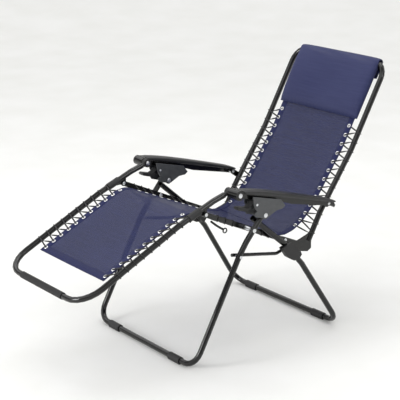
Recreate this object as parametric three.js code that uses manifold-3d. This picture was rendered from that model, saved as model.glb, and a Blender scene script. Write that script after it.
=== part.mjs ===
// Zero gravity recliner: a mesh sling laced into a folding frame of bent steel tube.
// Millimetres, +Z up, +Y towards the backrest, +X the sitter's left, origin on the floor.
// Side views are drawn in a plane of (y, z) points with y = 0 at the lock axle.
import * as THREE from "three";
import { mergeVertices } from "three/addons/utils/BufferGeometryUtils.js";
import Module from "manifold-3d";

const wasm = await Module();
wasm.setup();

// ---- Driving dimensions ----
const TUBE_R = 11; // all four frames are bent from one tube
const TUBE_WALL = 1.2;
const FIT = 0.3; // gap between pieces that touch
const FRAME_HALF = 313; // front leg frame at the axle, tube axis to centre plane
const FRONT_SPLAY = [0, 0, 2]; // how far each corner of a side stands out, from the top down
const REAR_SPLAY = [0, 11, 36];
const LEG_GAP = 2; // between the front and rear leg tubes
const BODY_GAP = 7; // between the rear leg tubes and the body tubes
const LEG_CORNER_R = 60;
const FOOT_CORNER_R = 95;
const HEAD_CORNER_R = 65;

const AXLE_HEIGHT = 538; // the axle that each lock turns on, at the top of the front leg
const FRONT_REACH = 324.5; // floor bars, measured from the axle
const REAR_REACH = 387;
const FRONT_UPPER = 150; // axle to the front leg's bend
const FRONT_UPPER_ANGLE = -130.5;
const FOLD_DROP = 30; // axle to the pivot that joins the leg frames, along the front leg
const REAR_UPPER = 256.4; // that pivot to the rear leg's bend
const REAR_UPPER_ANGLE = -41;
const LEG_OVERRUN = 14; // tube past its top pivot

const SEAT_PIVOT_DROP = 70.6; // from the axle
const SEAT_PIVOT_ANGLE = -132.9;
const RAIL_ANGLE = -24.85;
const RAIL_FRONT = 199.4; // seat pivot to knee pivot
const RAIL_REAR = 219.3; // seat pivot to hip pivot
const RAIL_DEPTH = 20;
const RAIL_THICK = 8;

const KNEE_TO_ARM = 129.4; // knee pivot to the armrest's front pivot
const KNEE_TO_ARM_ANGLE = 29.1;
const LEGREST_TOP = 77;
const LEGREST_MIDDLE = 166;
const LEGREST_LENGTH = 464;
const LEGREST_ANGLES = [195.8, 201.9, 205.9];

const HIP_TO_BACK = 131; // hip pivot to the lower end of the backrest tube
const HIP_TO_BACK_ANGLE = -14.1;
const BACK_LOWER = 124;
const BACK_MIDDLE = 270.3;
const BACK_LENGTH = 366.4;
const BACK_ANGLES = [60.5, 54.5, 60.2];
const ARM_REAR_UP = 34; // the armrest's rear pivot, above the backrest's first bend
const ARM_REAR_OUT = 30.2;

const ARM_HALF_WIDTH = 26;
const ARM_CENTRE = 305;
const ARM_LIFT = 8; // underside of the pad above the line between the pivots
const ARM_TAIL = 30; // pad past the rear pivot
const HUB_R = 19;
const PIN_R = 4;
const PLATE = 6;

const FABRIC_HALF = 212;
const FABRIC_THICK = 3;
const HEAD_GAP = 4; // top bar to the sling's head edge
const FOOT_SETBACK = 130; // foot tube to the sling's foot edge
const CORD_R = 1.8;
const EYELET_PITCH = 38;
const PILLOW_LENGTH = 244;
const PILLOW_HALF = 228;
const PILLOW_THICK = 36;

const FOOT_SLEEVE_R = 13.5;
const FOOT_SLEEVE_LENGTH = 68;
const FOOT_SLEEVE_INSET = 82; // from the frame's side to the sleeve
const STRUT_R = 6.5;

// ---- Lateral planes ----
const REAR_HALF = FRAME_HALF - 2 * TUBE_R - LEG_GAP;
const BODY_HALF = REAR_HALF - 2 * TUBE_R - BODY_GAP;
const RAIL_IN = BODY_HALF + 2;
const RAIL_OUT = RAIL_IN + RAIL_THICK;
const CHEEK = 5;
const HOUSING_IN = REAR_HALF - TUBE_R - CHEEK - 1.5;
const HOUSING_OUT = FRAME_HALF + TUBE_R + CHEEK + 1.5;

// ---- Small helpers ----
const rad = THREE.MathUtils.degToRad;
const at = (y, z) => new THREE.Vector2(y, z);
const polar = (from, length, angle) =>
  at(from.x + length * Math.cos(rad(angle)), from.y + length * Math.sin(rad(angle)));
const shifted = (point, dy, dz) => at(point.x + dy, point.y + dz);
const inSpace = (point, x) => new THREE.Vector3(x, point.x, point.y);
const angleOf = (from, to) => THREE.MathUtils.radToDeg(Math.atan2(to.y - from.y, to.x - from.x));
const towards = (from, to, length) => polar(from, length, angleOf(from, to));

// A flat outline in (y, z), made x0 to x1 thick.
function plate(points, x0, x1, holes = []) {
  const shape = new THREE.Shape(points);
  for (const hole of holes) shape.holes.push(new THREE.Path(hole));
  const geometry = new THREE.ExtrudeGeometry(shape, { depth: x1 - x0, bevelEnabled: false });
  const turn = new THREE.Matrix4().makeBasis(
    new THREE.Vector3(0, 1, 0), new THREE.Vector3(0, 0, 1), new THREE.Vector3(1, 0, 0));
  return geometry.applyMatrix4(turn).translate(x0, 0, 0);
}

function circle(centre, r, sides = 16, start = 0) {
  return Array.from({ length: sides }, (_, i) => polar(centre, r, start + (360 * i) / sides));
}

function arc(centre, r, from, to, sides = 6) {
  return Array.from({ length: sides + 1 }, (_, i) =>
    polar(centre, r, from + ((to - from) * i) / sides));
}

// A plain cylinder along x.
function bar(centre, r, x0, x1, sides = 16) {
  return plate(circle(centre, r, sides), x0, x1);
}

// A turned piece along x: each step is [radius, x], from the lowest x to the highest.
function turned(centre, steps, sides = 12) {
  const profile = steps.map(([r, x]) => new THREE.Vector2(r, x));
  profile.unshift(new THREE.Vector2(0, steps[0][1]));
  profile.push(new THREE.Vector2(0, steps.at(-1)[1]));
  return new THREE.LatheGeometry(profile, sides)
    .rotateZ(-Math.PI / 2)
    .translate(0, centre.x, centre.y);
}

// A rivet: a shank between two domed heads, with an optional thick middle as a spacer.
function rivet(centre, x0, x1, r = PIN_R, headR = 8, spacer = null) {
  const head = 2.4;
  const steps = [[headR * 0.6, x0 - head], [headR, x0 - head * 0.4], [headR, x0], [r, x0]];
  if (spacer) {
    steps.push([r, spacer.from], [spacer.r, spacer.from], [spacer.r, spacer.to], [r, spacer.to]);
  }
  steps.push([r, x1], [headR, x1], [headR, x1 + head * 0.4], [headR * 0.6, x1 + head]);
  return turned(centre, steps);
}

// Straight runs between corners, with a round bend of the given radius at each.
function bentPath(corners, radii) {
  const stepAngle = 15;
  const points = [corners[0]];
  for (let i = 1; i < corners.length - 1; i++) {
    const before = corners[i - 1].clone().sub(corners[i]).normalize();
    const after = corners[i + 1].clone().sub(corners[i]).normalize();
    const bend = Math.PI - before.angleTo(after);
    const reach = radii[i - 1] * Math.tan(bend / 2);
    const middle = before.clone().add(after).normalize();
    const centre = middle.multiplyScalar(radii[i - 1] / Math.cos(bend / 2)).add(corners[i]);
    const first = corners[i].clone().addScaledVector(before, reach).sub(centre);
    const axis = new THREE.Vector3().crossVectors(after, before).normalize();
    const count = Math.max(1, Math.round(THREE.MathUtils.radToDeg(bend) / stepAngle));
    for (let k = 0; k <= count; k++) {
      points.push(first.clone().applyAxisAngle(axis, (bend * k) / count).add(centre));
    }
  }
  points.push(corners.at(-1));
  return points;
}

// A path through a list of points, one step for each span.
class PointPath extends THREE.Curve {
  constructor(points) {
    super();
    this.points = points;
  }
  getPoint(t) {
    const spans = this.points.length - 1;
    const i = Math.min(Math.floor(t * spans + 1e-6), spans - 1);
    return this.points[i].clone().lerp(this.points[i + 1], t * spans - i);
  }
  getPointAt(t) {
    return this.getPoint(t);
  }
  getTangentAt(t) {
    const i = Math.round(t * (this.points.length - 1));
    const before = this.points[Math.max(i - 1, 0)];
    const here = this.points[i];
    const after = this.points[Math.min(i + 1, this.points.length - 1)];
    const tangent = new THREE.Vector3();
    if (before !== here) tangent.add(here.clone().sub(before).normalize());
    if (after !== here) tangent.add(after.clone().sub(here).normalize());
    return tangent.normalize();
  }
}

// A round section carried along the points, hollow where a bore is given.
function sweep(points, r, bore = 0, sides = 12, boreSides = 8) {
  const shape = new THREE.Shape(circle(at(0, 0), r, sides));
  if (bore) shape.holes.push(new THREE.Path(circle(at(0, 0), bore, boreSides)));
  const path = new PointPath(points);
  return new THREE.ExtrudeGeometry(shape, { steps: points.length - 1, extrudePath: path });
}

// Booleans.
function solid(geometry) {
  const bare = geometry.clone();
  bare.deleteAttribute("normal");
  bare.deleteAttribute("uv");
  const merged = mergeVertices(bare, 1e-3);
  return new wasm.Manifold(new wasm.Mesh({
    numProp: 3,
    vertProperties: new Float32Array(merged.attributes.position.array),
    triVerts: new Uint32Array(merged.index.array),
  }));
}

function surface(made) {
  const mesh = made.getMesh();
  const geometry = new THREE.BufferGeometry();
  geometry.setAttribute("position", new THREE.BufferAttribute(mesh.vertProperties, 3));
  geometry.setIndex(new THREE.BufferAttribute(mesh.triVerts, 1));
  return geometry;
}

const join = (...pieces) => surface(pieces.map(solid).reduce((a, b) => a.add(b)));
const cut = (piece, ...tools) =>
  surface(tools.map(solid).reduce((a, b) => a.subtract(b), solid(piece)));

// ---- Finishes ----
const finish = (color, roughness, metalness) =>
  new THREE.MeshStandardMaterial({ color, roughness, metalness });
const PAINT = finish(0x17181b, 0.3, 0.2);
const BLACK_PLASTIC = finish(0x1d1e20, 0.55, 0);
const GREY_PLASTIC = finish(0x3a3c3f, 0.5, 0);
const ZINC = finish(0xb9bcc0, 0.3, 1);
const MESH_CLOTH = finish(0x2e3a6e, 0.8, 0);
const PILLOW_CLOTH = finish(0x27325f, 0.8, 0);
const ELASTIC = finish(0x141416, 0.7, 0);

const recliner = new THREE.Group();

function add(name, geometry, material) {
  const mesh = new THREE.Mesh(geometry, material);
  mesh.name = name;
  recliner.add(mesh);
}

// One piece on each side: the left is drawn, the right is its mirror image.
function addPair(name, geometry, material) {
  add(name + "_left", geometry, material);
  add(name + "_right", geometry, material);
  recliner.children.at(-1).scale.x = -1;
}

// ---- Joints of the side view ----
const axle = at(0, AXLE_HEIGHT);
const frontBend = polar(axle, FRONT_UPPER, FRONT_UPPER_ANGLE);
const frontFoot = at(-FRONT_REACH, FOOT_SLEEVE_R);
const foldPivot = polar(axle, FOLD_DROP, FRONT_UPPER_ANGLE);
const rearBend = polar(foldPivot, REAR_UPPER, REAR_UPPER_ANGLE);
const rearFoot = at(REAR_REACH, FOOT_SLEEVE_R);
const seatPivot = polar(axle, SEAT_PIVOT_DROP, SEAT_PIVOT_ANGLE);
const kneePivot = polar(seatPivot, RAIL_FRONT, RAIL_ANGLE + 180);
const hipPivot = polar(seatPivot, RAIL_REAR, RAIL_ANGLE);
const armFront = polar(kneePivot, KNEE_TO_ARM, KNEE_TO_ARM_ANGLE);
const legrestUpper = polar(armFront, LEGREST_TOP, LEGREST_ANGLES[0]);
const legrestKnee = polar(legrestUpper, LEGREST_MIDDLE, LEGREST_ANGLES[1]);
const legrestFoot = polar(legrestKnee, LEGREST_LENGTH, LEGREST_ANGLES[2]);
const backEnd = polar(hipPivot, HIP_TO_BACK, HIP_TO_BACK_ANGLE);
const backLow = polar(backEnd, BACK_LOWER, BACK_ANGLES[0]);
const backHigh = polar(backLow, BACK_MIDDLE, BACK_ANGLES[1]);
const backTop = polar(backHigh, BACK_LENGTH, BACK_ANGLES[2]);
const armSeat = polar(backLow, ARM_REAR_UP, BACK_ANGLES[1]);
const armRear = polar(armSeat, ARM_REAR_OUT, BACK_ANGLES[1] + 90);
const armAngle = angleOf(armFront, armRear);
const armLength = armFront.distanceTo(armRear);

// ---- Bent tube frames ----
// Each is one U: down one side, across a bar, and up the other side.
function frameCorners(side, half, splay) {
  const halfAt = (i) => half + (splay[i] ?? 0);
  const left = side.map((point, i) => inSpace(point, halfAt(i)));
  const right = side.map((point, i) => inSpace(point, -halfAt(i))).reverse();
  return [...left, ...right];
}

function frame(side, half, splay, radii, r = TUBE_R, bore = TUBE_R - TUBE_WALL) {
  const corners = frameCorners(side, half, splay);
  return sweep(bentPath(corners, [...radii, ...[...radii].reverse()]), r, bore);
}

const BEND_R = 120; // the gentle bends of the sides
const FRONT_BEND_R = 300;
const REAR_BEND_R = 400;
const frontSide = [towards(axle, frontBend, -LEG_OVERRUN), frontBend, frontFoot];
const rearSide = [towards(foldPivot, rearBend, -LEG_OVERRUN), rearBend, rearFoot];
const eyeReach = HUB_R + 5; // the legrest tube stops short of the armrest hub
const legrestSide = [towards(armFront, legrestUpper, eyeReach), legrestUpper, legrestKnee,
  legrestFoot];
const backSide = [backEnd, backLow, backHigh, backTop];

const legHole = (centre, r) => bar(centre, r + FIT, -FRAME_HALF - 40, FRAME_HALF + 40);
const STRUT_DROP = 31; // down the lower tube from its bend
const strutPivot = towards(frontBend, frontFoot, STRUT_DROP);

// The rear frame's two pivot stubs turn in holes in the front tube's inner walls.
const FOLD_PIN_R = PIN_R + 1;
const onBothSides = (x0, x1, make) => [make(x0, x1), make(-x1, -x0)];
const foldPins = onBothSides(REAR_HALF - TUBE_R + 0.5, FRAME_HALF + 3, (x0, x1) =>
  bar(foldPivot, FOLD_PIN_R, x0, x1, 12));
const foldHoles = onBothSides(FRAME_HALF - TUBE_R - 5, FRAME_HALF, (x0, x1) =>
  bar(foldPivot, FOLD_PIN_R + FIT, x0, x1, 12));
add("front_leg_frame", cut(frame(frontSide, FRAME_HALF, FRONT_SPLAY, [FRONT_BEND_R, LEG_CORNER_R]),
  legHole(axle, PIN_R + 1), legHole(seatPivot, PIN_R), legHole(strutPivot, 3), ...foldHoles), PAINT);
add("rear_leg_frame", join(frame(rearSide, REAR_HALF, REAR_SPLAY, [REAR_BEND_R, LEG_CORNER_R]),
  ...foldPins), PAINT);
add("legrest_frame", frame(legrestSide, BODY_HALF, [], [BEND_R, BEND_R, FOOT_CORNER_R]), PAINT);
add("backrest_frame", frame(backSide, BODY_HALF, [], [BEND_R, BEND_R, HEAD_CORNER_R]), PAINT);

// ---- Plastic sleeves on the floor bars, each with a flat underside ----
function footSleeve(foot, half) {
  const outline = [shifted(foot, -9, -FOOT_SLEEVE_R), shifted(foot, 9, -FOOT_SLEEVE_R),
    ...arc(foot, FOOT_SLEEVE_R + 0.5, -35, 215, 12)];
  const bore = circle(foot, (TUBE_R + FIT) / Math.cos(Math.PI / 16)).reverse();
  const outer = half - FOOT_SLEEVE_INSET;
  return plate(outline, outer - FOOT_SLEEVE_LENGTH, outer, [bore]);
}
addPair("front_foot_sleeve", footSleeve(frontFoot, FRAME_HALF + FRONT_SPLAY.at(-1)), BLACK_PLASTIC);
addPair("rear_foot_sleeve", footSleeve(rearFoot, REAR_HALF + REAR_SPLAY.at(-1)), BLACK_PLASTIC);

const GRIP_HALF = 140;
add("foot_grip", plate(circle(legrestFoot, TUBE_R + 2.2), -GRIP_HALF, GRIP_HALF,
  [circle(legrestFoot, (TUBE_R + FIT) / Math.cos(Math.PI / 16)).reverse()]), BLACK_PLASTIC);

// ---- Seat rails: flat bars on three pivots ----
const railEnd = RAIL_DEPTH / 2;
const railOutline = [
  ...arc(hipPivot, railEnd, RAIL_ANGLE - 90, RAIL_ANGLE + 90),
  ...arc(kneePivot, railEnd, RAIL_ANGLE + 90, RAIL_ANGLE + 270)];
const railHoles = [hipPivot, seatPivot, kneePivot].map((pivot) =>
  circle(pivot, PIN_R + FIT, 12).reverse());
addPair("seat_rail", plate(railOutline, RAIL_IN, RAIL_OUT, railHoles), PAINT);

addPair("seat_pivot_pin", rivet(seatPivot, RAIL_IN - FIT, FRAME_HALF + TUBE_R + FIT, PIN_R, 8,
  { from: RAIL_OUT + FIT, to: FRAME_HALF - TUBE_R - FIT, r: 7 }), ZINC);

// ---- Knee: plastic sleeve, and the plate that hangs the legrest on the rail ----
const kneeSleeveAt = towards(legrestUpper, legrestKnee, 93);
const KNEE_SLEEVE = 55;
const sleeveEnds = [-1, 1].map((s) =>
  inSpace(polar(kneeSleeveAt, (s * KNEE_SLEEVE) / 2, LEGREST_ANGLES[1]), BODY_HALF));
const legrestTubeWith = (clearance) =>
  frame(legrestSide, BODY_HALF, [], [BEND_R, BEND_R, FOOT_CORNER_R], TUBE_R + clearance, 0);
addPair("knee_sleeve", sweep(sleeveEnds, TUBE_R + 3, TUBE_R + 0.5, 14, 14), BLACK_PLASTIC);

const plateIn = RAIL_IN - FIT - PLATE;
const kneePlate = [
  ...arc(kneePivot, 11, 190, 320),
  polar(towards(legrestUpper, legrestKnee, 30), 0, 0),
  polar(towards(legrestUpper, legrestKnee, 118), 0, 0)];
addPair("knee_bracket", cut(
  plate(kneePlate, plateIn, plateIn + PLATE, [circle(kneePivot, PIN_R + FIT, 12).reverse()]),
  legrestTubeWith(FIT), sweep(sleeveEnds, TUBE_R + 3.4, 0, 14)), PAINT);
addPair("knee_pin", rivet(kneePivot, plateIn - FIT, RAIL_OUT + FIT, PIN_R, 7), ZINC);

// ---- Hip: the plate that carries the backrest tube's lower end ----
const backTubeWith = (clearance) =>
  frame(backSide, BODY_HALF, [], [BEND_R, BEND_R, HEAD_CORNER_R], TUBE_R + clearance, 0);
const hipPlate = [
  ...arc(hipPivot, 13, 100, 240),
  shifted(backEnd, -58, -30),
  shifted(backEnd, -4, -42),
  shifted(backEnd, 14, -32),
  shifted(backEnd, 14, -8),
  polar(backEnd, 42, BACK_ANGLES[0]),
  shifted(backEnd, -14, 24),
  shifted(backEnd, -56, 12)];
addPair("hip_bracket", cut(
  plate(hipPlate, plateIn, plateIn + PLATE, [circle(hipPivot, PIN_R + FIT, 12).reverse()]),
  backTubeWith(FIT)), PAINT);
addPair("hip_pin", rivet(hipPivot, plateIn - FIT, RAIL_OUT + FIT, PIN_R, 7), ZINC);

// ---- Armrests ----
// Drawn in (along, up) from the front pivot, then laid along the pivot line.
const onArm = (along, up) => polar(polar(armFront, along, armAngle), up, armAngle + 90);
const barIn = ARM_CENTRE - 8;
const barOut = ARM_CENTRE + 8;
const REAR_PIN_R = 3.5;
const armBar = [onArm(0, -11), onArm(230, -11), onArm(270, -15), onArm(armLength - 30, -10),
  onArm(armLength + 24, -9), onArm(armLength + 33, -14), onArm(armLength + 36, -4),
  onArm(armLength + 24, ARM_LIFT - FIT), onArm(0, ARM_LIFT - FIT)];
const hubIn = BODY_HALF + TUBE_R + 1;
const hubOut = ARM_CENTRE + ARM_HALF_WIDTH - 5;
addPair("armrest_bar", cut(
  join(plate(armBar, barIn, barOut), bar(armFront, HUB_R, hubIn, hubOut, 20)),
  bar(armFront, PIN_R + FIT, hubIn - 5, hubOut + 5, 12),
  bar(armRear, REAR_PIN_R + 2, barIn - 5, barOut + 5, 12)), BLACK_PLASTIC);

const padTop = new THREE.SplineCurve([onArm(-6, 16), onArm(40, 24), onArm(130, 28),
  onArm(232, 27), onArm(armLength - 126, 24), onArm(armLength - 18, 21),
  onArm(armLength + ARM_TAIL, 12)]).getPoints(14);
const padOutline = [onArm(-12, 13), onArm(-8, ARM_LIFT), onArm(armLength + ARM_TAIL - 4, ARM_LIFT),
  ...padTop.reverse()];
addPair("armrest_pad", cut(
  plate(padOutline, ARM_CENTRE - ARM_HALF_WIDTH, ARM_CENTRE + ARM_HALF_WIDTH),
  bar(armFront, HUB_R + FIT, hubIn - 10, hubOut + 10, 20)), BLACK_PLASTIC);

// The legrest tube ends in an eye beside the hub.
const eyeIn = BODY_HALF - 8;
const eyeTail = [0, 2].map((i) => inSpace(towards(armFront, legrestUpper, 14 + 15 * i), BODY_HALF));
addPair("legrest_eye", cut(
  join(bar(armFront, HUB_R - 2, eyeIn, hubIn - FIT, 20), sweep(eyeTail, TUBE_R - TUBE_WALL - 1)),
  bar(armFront, PIN_R + FIT, eyeIn - 5, hubIn + 5, 12)), BLACK_PLASTIC);
addPair("arm_front_pin", rivet(armFront, eyeIn - FIT, hubOut + FIT, PIN_R, 9), ZINC);

// The backrest carries a tab for the armrest's rear pivot.
const tabIn = BODY_HALF + TUBE_R + FIT;
const tabOut = tabIn + PLATE;
const tabAngle = BACK_ANGLES[1] + 90;
const tab = [...arc(armRear, 11, tabAngle - 90, tabAngle + 90),
  ...arc(armSeat, 11, tabAngle + 90, tabAngle + 270)];
addPair("arm_rear_tab",
  plate(tab, tabIn, tabOut, [circle(armRear, REAR_PIN_R + FIT, 12).reverse()]), PAINT);
addPair("arm_rear_pin", rivet(armRear, tabIn - FIT, barOut + FIT, REAR_PIN_R, 6.2,
  { from: tabOut + FIT, to: barIn - FIT, r: 6.2 }), ZINC);

// ---- Locks: a plastic housing on the axle, sliding under the armrest ----
const axleAlong = polar(axle, 0, 0).sub(armFront).rotateAround(at(0, 0), -rad(armAngle));
const onLock = (along, up) => onArm(axleAlong.x + along, axleAlong.y + up);
const lineUp = -axleAlong.y; // the armrest's pivot line above the axle
const cheek = [onLock(-79, lineUp + 1.5), onLock(-64, 30), onLock(-45, 12), onLock(-56, 0),
  onLock(-45, -10), ...arc(axle, 15, armAngle - 130, armAngle - 40, 4), onLock(48, 21),
  onLock(77, 30), onLock(88, 43), onLock(61, lineUp + 1.5)];
const bridge = [onLock(-24, 20), onLock(76, 32), onLock(76, lineUp - 17),
  onLock(-24, lineUp - 17)];
const LEVER_PIN_R = 3;
const leverPivot = onLock(-52, 36);
const housing = join(
  plate(cheek, HOUSING_IN, HOUSING_IN + CHEEK),
  plate(cheek, HOUSING_OUT - CHEEK, HOUSING_OUT),
  plate(bridge, HOUSING_IN + 1, HOUSING_OUT - 1));
addPair("lock_housing", cut(housing,
  bar(axle, PIN_R + 1 + FIT, HOUSING_IN - 5, HOUSING_OUT + 5, 12),
  bar(leverPivot, LEVER_PIN_R + FIT, HOUSING_IN - 5, HOUSING_OUT + 5, 12)), GREY_PLASTIC);
addPair("lock_axle", rivet(axle, HOUSING_IN - FIT, HOUSING_OUT + FIT, PIN_R + 1, 9), ZINC);

const LEVER_HALF = 15;
const leverCentre = (HOUSING_IN + HOUSING_OUT) / 2;
const lever = [...arc(leverPivot, 8, armAngle - 10, armAngle + 120), onLock(-64, 30),
  onLock(-80, 18), onLock(-119, 18), onLock(-125, 12), onLock(-119, 6), onLock(-76, 5),
  onLock(-56, 18)];
addPair("lock_lever", plate(lever, leverCentre - LEVER_HALF, leverCentre + LEVER_HALF,
  [circle(leverPivot, LEVER_PIN_R + FIT, 12).reverse()]), BLACK_PLASTIC);
addPair("lever_pin",
  rivet(leverPivot, HOUSING_IN - FIT, HOUSING_OUT + FIT, LEVER_PIN_R, 5), ZINC);

// ---- Fold strut, and the sleeve that slides down the rear leg as the legs close ----
const strutEnd = shifted(rearBend, -60, 19);
const strutElbow = shifted(strutEnd, -24, -7);
const strutFront = towards(strutPivot, strutElbow, -16);
const strutPath = bentPath(
  [strutFront, strutElbow, strutEnd].map((point) => inSpace(point, REAR_HALF)), [20]);
addPair("fold_strut", cut(sweep(strutPath, STRUT_R, 0, 10),
  bar(strutPivot, 3 + FIT, REAR_HALF - 20, REAR_HALF + 20, 10)), PAINT);
addPair("strut_pin",
  rivet(strutPivot, REAR_HALF - STRUT_R - FIT, FRAME_HALF + TUBE_R + FIT, 3, 6), ZINC);

const lowerAngle = angleOf(rearBend, rearFoot);
const lowerLean = (REAR_SPLAY[2] - REAR_SPLAY[1]) / rearBend.distanceTo(rearFoot);
// A point on the line of the rear leg's lower tube, which leans out as it goes down.
const onLowerLeg = (along) => inSpace(polar(rearBend, along, lowerAngle),
  REAR_HALF + REAR_SPLAY[1] + lowerLean * along);
const SLEEVE_GAP = 1.2;
const sleeveIn = REAR_HALF - TUBE_R - 2;
const sleeveOut = REAR_HALF + REAR_SPLAY[1] + TUBE_R + 5;
const sleeveBlock = [[-78, 36], [-50, -4], [-18, -24], [6, -26], [22, -8], [13, 12], [-34, 51]]
  .map(([dy, dz]) => shifted(rearBend, dy, dz));
const slotWall = TUBE_R + 2;
const slot = [
  polar(polar(rearBend, 80, lowerAngle + 180), slotWall, lowerAngle - 90),
  polar(polar(rearBend, 80, lowerAngle), slotWall, lowerAngle - 90),
  polar(polar(rearBend, 80, lowerAngle), 80, lowerAngle - 90),
  polar(polar(rearBend, 80, lowerAngle + 180), 80, lowerAngle - 90)];
// The sleeve clears the leg where it rests at the bend, and as it slides down the straight run.
const slideBore = (slide) => {
  const down = onLowerLeg(slide).sub(onLowerLeg(0));
  const path = bentPath([inSpace(foldPivot, REAR_HALF), onLowerLeg(0), onLowerLeg(200)],
    [REAR_BEND_R]).map((point) => point.sub(down));
  return sweep(path, TUBE_R + SLEEVE_GAP, 0, 12);
};
const boreTools = [0, 22, 50, 100].map(slideBore);
addPair("strut_sleeve", cut(plate(sleeveBlock, sleeveIn, sleeveOut), ...boreTools,
  plate(slot, sleeveIn - 1, REAR_HALF + STRUT_R + 0.8)), BLACK_PLASTIC);

// ---- Sling: one sheet in use, drawn as the three spans that follow the three frames ----
const offsetFrom = (point, angle, along, up) => polar(polar(point, along, angle), up, angle + 90);
const legAngle = LEGREST_ANGLES[2] - 180;
const legSpan = [
  offsetFrom(legrestFoot, legAngle, FOOT_SETBACK, -8),
  offsetFrom(legrestKnee, legAngle, 0, -8),
  shifted(kneePivot, -70, -8),
  shifted(kneePivot, -37, -2),
  shifted(kneePivot, -16, -4)];
const seatSpan = [
  shifted(kneePivot, -12, -6),
  offsetFrom(kneePivot, RAIL_ANGLE, 40, -8),
  offsetFrom(hipPivot, RAIL_ANGLE, -70, -3),
  shifted(hipPivot, -24, 12),
  shifted(hipPivot, 14, 2),
  shifted(hipPivot, 46, -1)];
const backSpan = [
  shifted(hipPivot, 49, -1),
  shifted(backEnd, -36, 40),
  shifted(backEnd, 12, 68),
  offsetFrom(backLow, BACK_ANGLES[1], 24, 2),
  backHigh,
  polar(backTop, -(TUBE_R + HEAD_GAP), BACK_ANGLES[2])];
function span(points) {
  const line = points.map((point, i) => {
    const before = points[Math.max(i - 1, 0)];
    const after = points[Math.min(i + 1, points.length - 1)];
    return { point, angle: angleOf(before, after) };
  });
  const edge = (up) => line.map(({ point, angle }) => polar(point, up, angle + 90));
  return plate([...edge(-FABRIC_THICK / 2), ...edge(FABRIC_THICK / 2).reverse()],
    -FABRIC_HALF, FABRIC_HALF);
}
add("sling_legrest", span(legSpan), MESH_CLOTH);
add("sling_seat", span(seatSpan), MESH_CLOTH);
add("sling_back", span(backSpan), MESH_CLOTH);

// ---- Head pillow: over the sling, round the top bar, with a flap behind ----
const onBack = (along, out) => polar(polar(backTop, along, BACK_ANGLES[2]), out,
  BACK_ANGLES[2] + 90);
const clear = FABRIC_THICK / 2 + FIT + 0.5;
const pillow = [onBack(-PILLOW_LENGTH, clear), onBack(-14, clear), onBack(-14, -12.5),
  onBack(-64, -12.5), onBack(-66, -17), onBack(4, -17), onBack(17, -8), onBack(17, 6),
  onBack(0, 20), onBack(-40, PILLOW_THICK * 0.86), onBack(-120, PILLOW_THICK),
  onBack(-200, PILLOW_THICK * 0.9), onBack(6 - PILLOW_LENGTH, PILLOW_THICK * 0.5)];
add("head_pillow", cut(plate(pillow.reverse(), -PILLOW_HALF, PILLOW_HALF), backTubeWith(0.5)),
  PILLOW_CLOTH);

// ---- Elastic lacing: from the sling's edge round the frame and back, at each eyelet ----
const cordIn = FABRIC_HALF + CORD_R + FIT;
function wrapTube() {
  const reach = (TUBE_R + CORD_R + FIT) / Math.cos(Math.PI / 6);
  return [120, 60, 0, -60, -120].map((angle) =>
    [BODY_HALF + reach * Math.cos(rad(angle)), reach * Math.sin(rad(angle))]);
}
function wrapRail() {
  const middle = (RAIL_IN + RAIL_OUT) / 2;
  const out = RAIL_THICK / 2 + CORD_R + FIT;
  const up = RAIL_DEPTH / 2 + CORD_R + FIT + 0.4;
  return [[-1, 1], [1, 1], [1.2, 0], [1, -1], [-1, -1]].map(([a, b]) =>
    [middle + a * (out + 0.4), b * up]);
}
// The point and direction at a share of the way along a line of points.
function placeOn(line, share) {
  const lengths = line.slice(1).map((point, i) => line[i].distanceTo(point));
  let rest = share * lengths.reduce((a, b) => a + b);
  let i = 0;
  while (i < lengths.length - 1 && rest > lengths[i]) rest -= lengths[i++];
  return { point: towards(line[i], line[i + 1], rest), angle: angleOf(line[i], line[i + 1]) };
}

// The frame's centre line gives the wraps their place, and the sling's gives the eyelets theirs.
function lacing(frameLine, slingLine, wrap, skipped = []) {
  const length = frameLine.slice(1).reduce((sum, p, i) => sum + p.distanceTo(frameLine[i]), 0);
  const loops = Math.round(length / EYELET_PITCH);
  const points = [];
  for (let i = 0; i <= loops; i++) {
    points.push(inSpace(placeOn(slingLine, i / loops).point, cordIn));
    if (i === loops || skipped.includes(i)) continue;
    wrap.forEach(([x, up], k) => {
      const base = placeOn(frameLine, (i + (k + 1) / (wrap.length + 1)) / loops);
      points.push(inSpace(polar(base.point, up, base.angle + 90), x));
    });
  }
  return sweep(points, CORD_R, 0, 5);
}
const legLine = (up) => [offsetFrom(legrestFoot, legAngle, FOOT_SETBACK + 20, up),
  offsetFrom(legrestKnee, legAngle, -10, up)];
addPair("lacing_legrest", lacing(legLine(0), legLine(-8), wrapTube()), ELASTIC);

const seatLine = (up) => [offsetFrom(kneePivot, RAIL_ANGLE, 40, up),
  offsetFrom(hipPivot, RAIL_ANGLE, -70, up)];
addPair("lacing_seat", lacing(seatLine(0), seatLine(-6), wrapRail(), [3, 4]), ELASTIC);

const backLine = (up) => [offsetFrom(backLow, BACK_ANGLES[1], 62, up),
  polar(backHigh, up, BACK_ANGLES[1] + 90), offsetFrom(backHigh, BACK_ANGLES[2], 90, up)];
addPair("lacing_back", lacing(backLine(0), backLine(1), wrapTube()), ELASTIC);

// ---- The origin: on the floor, under the middle of the whole recliner ----
const extent = new THREE.Box3().setFromObject(recliner);
const middle = extent.getCenter(new THREE.Vector3());
recliner.position.set(-middle.x, -middle.y, -extent.min.z);

export default recliner;
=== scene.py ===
import math

import bmesh
import bpy
import numpy as np
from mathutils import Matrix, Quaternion, Vector


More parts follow.
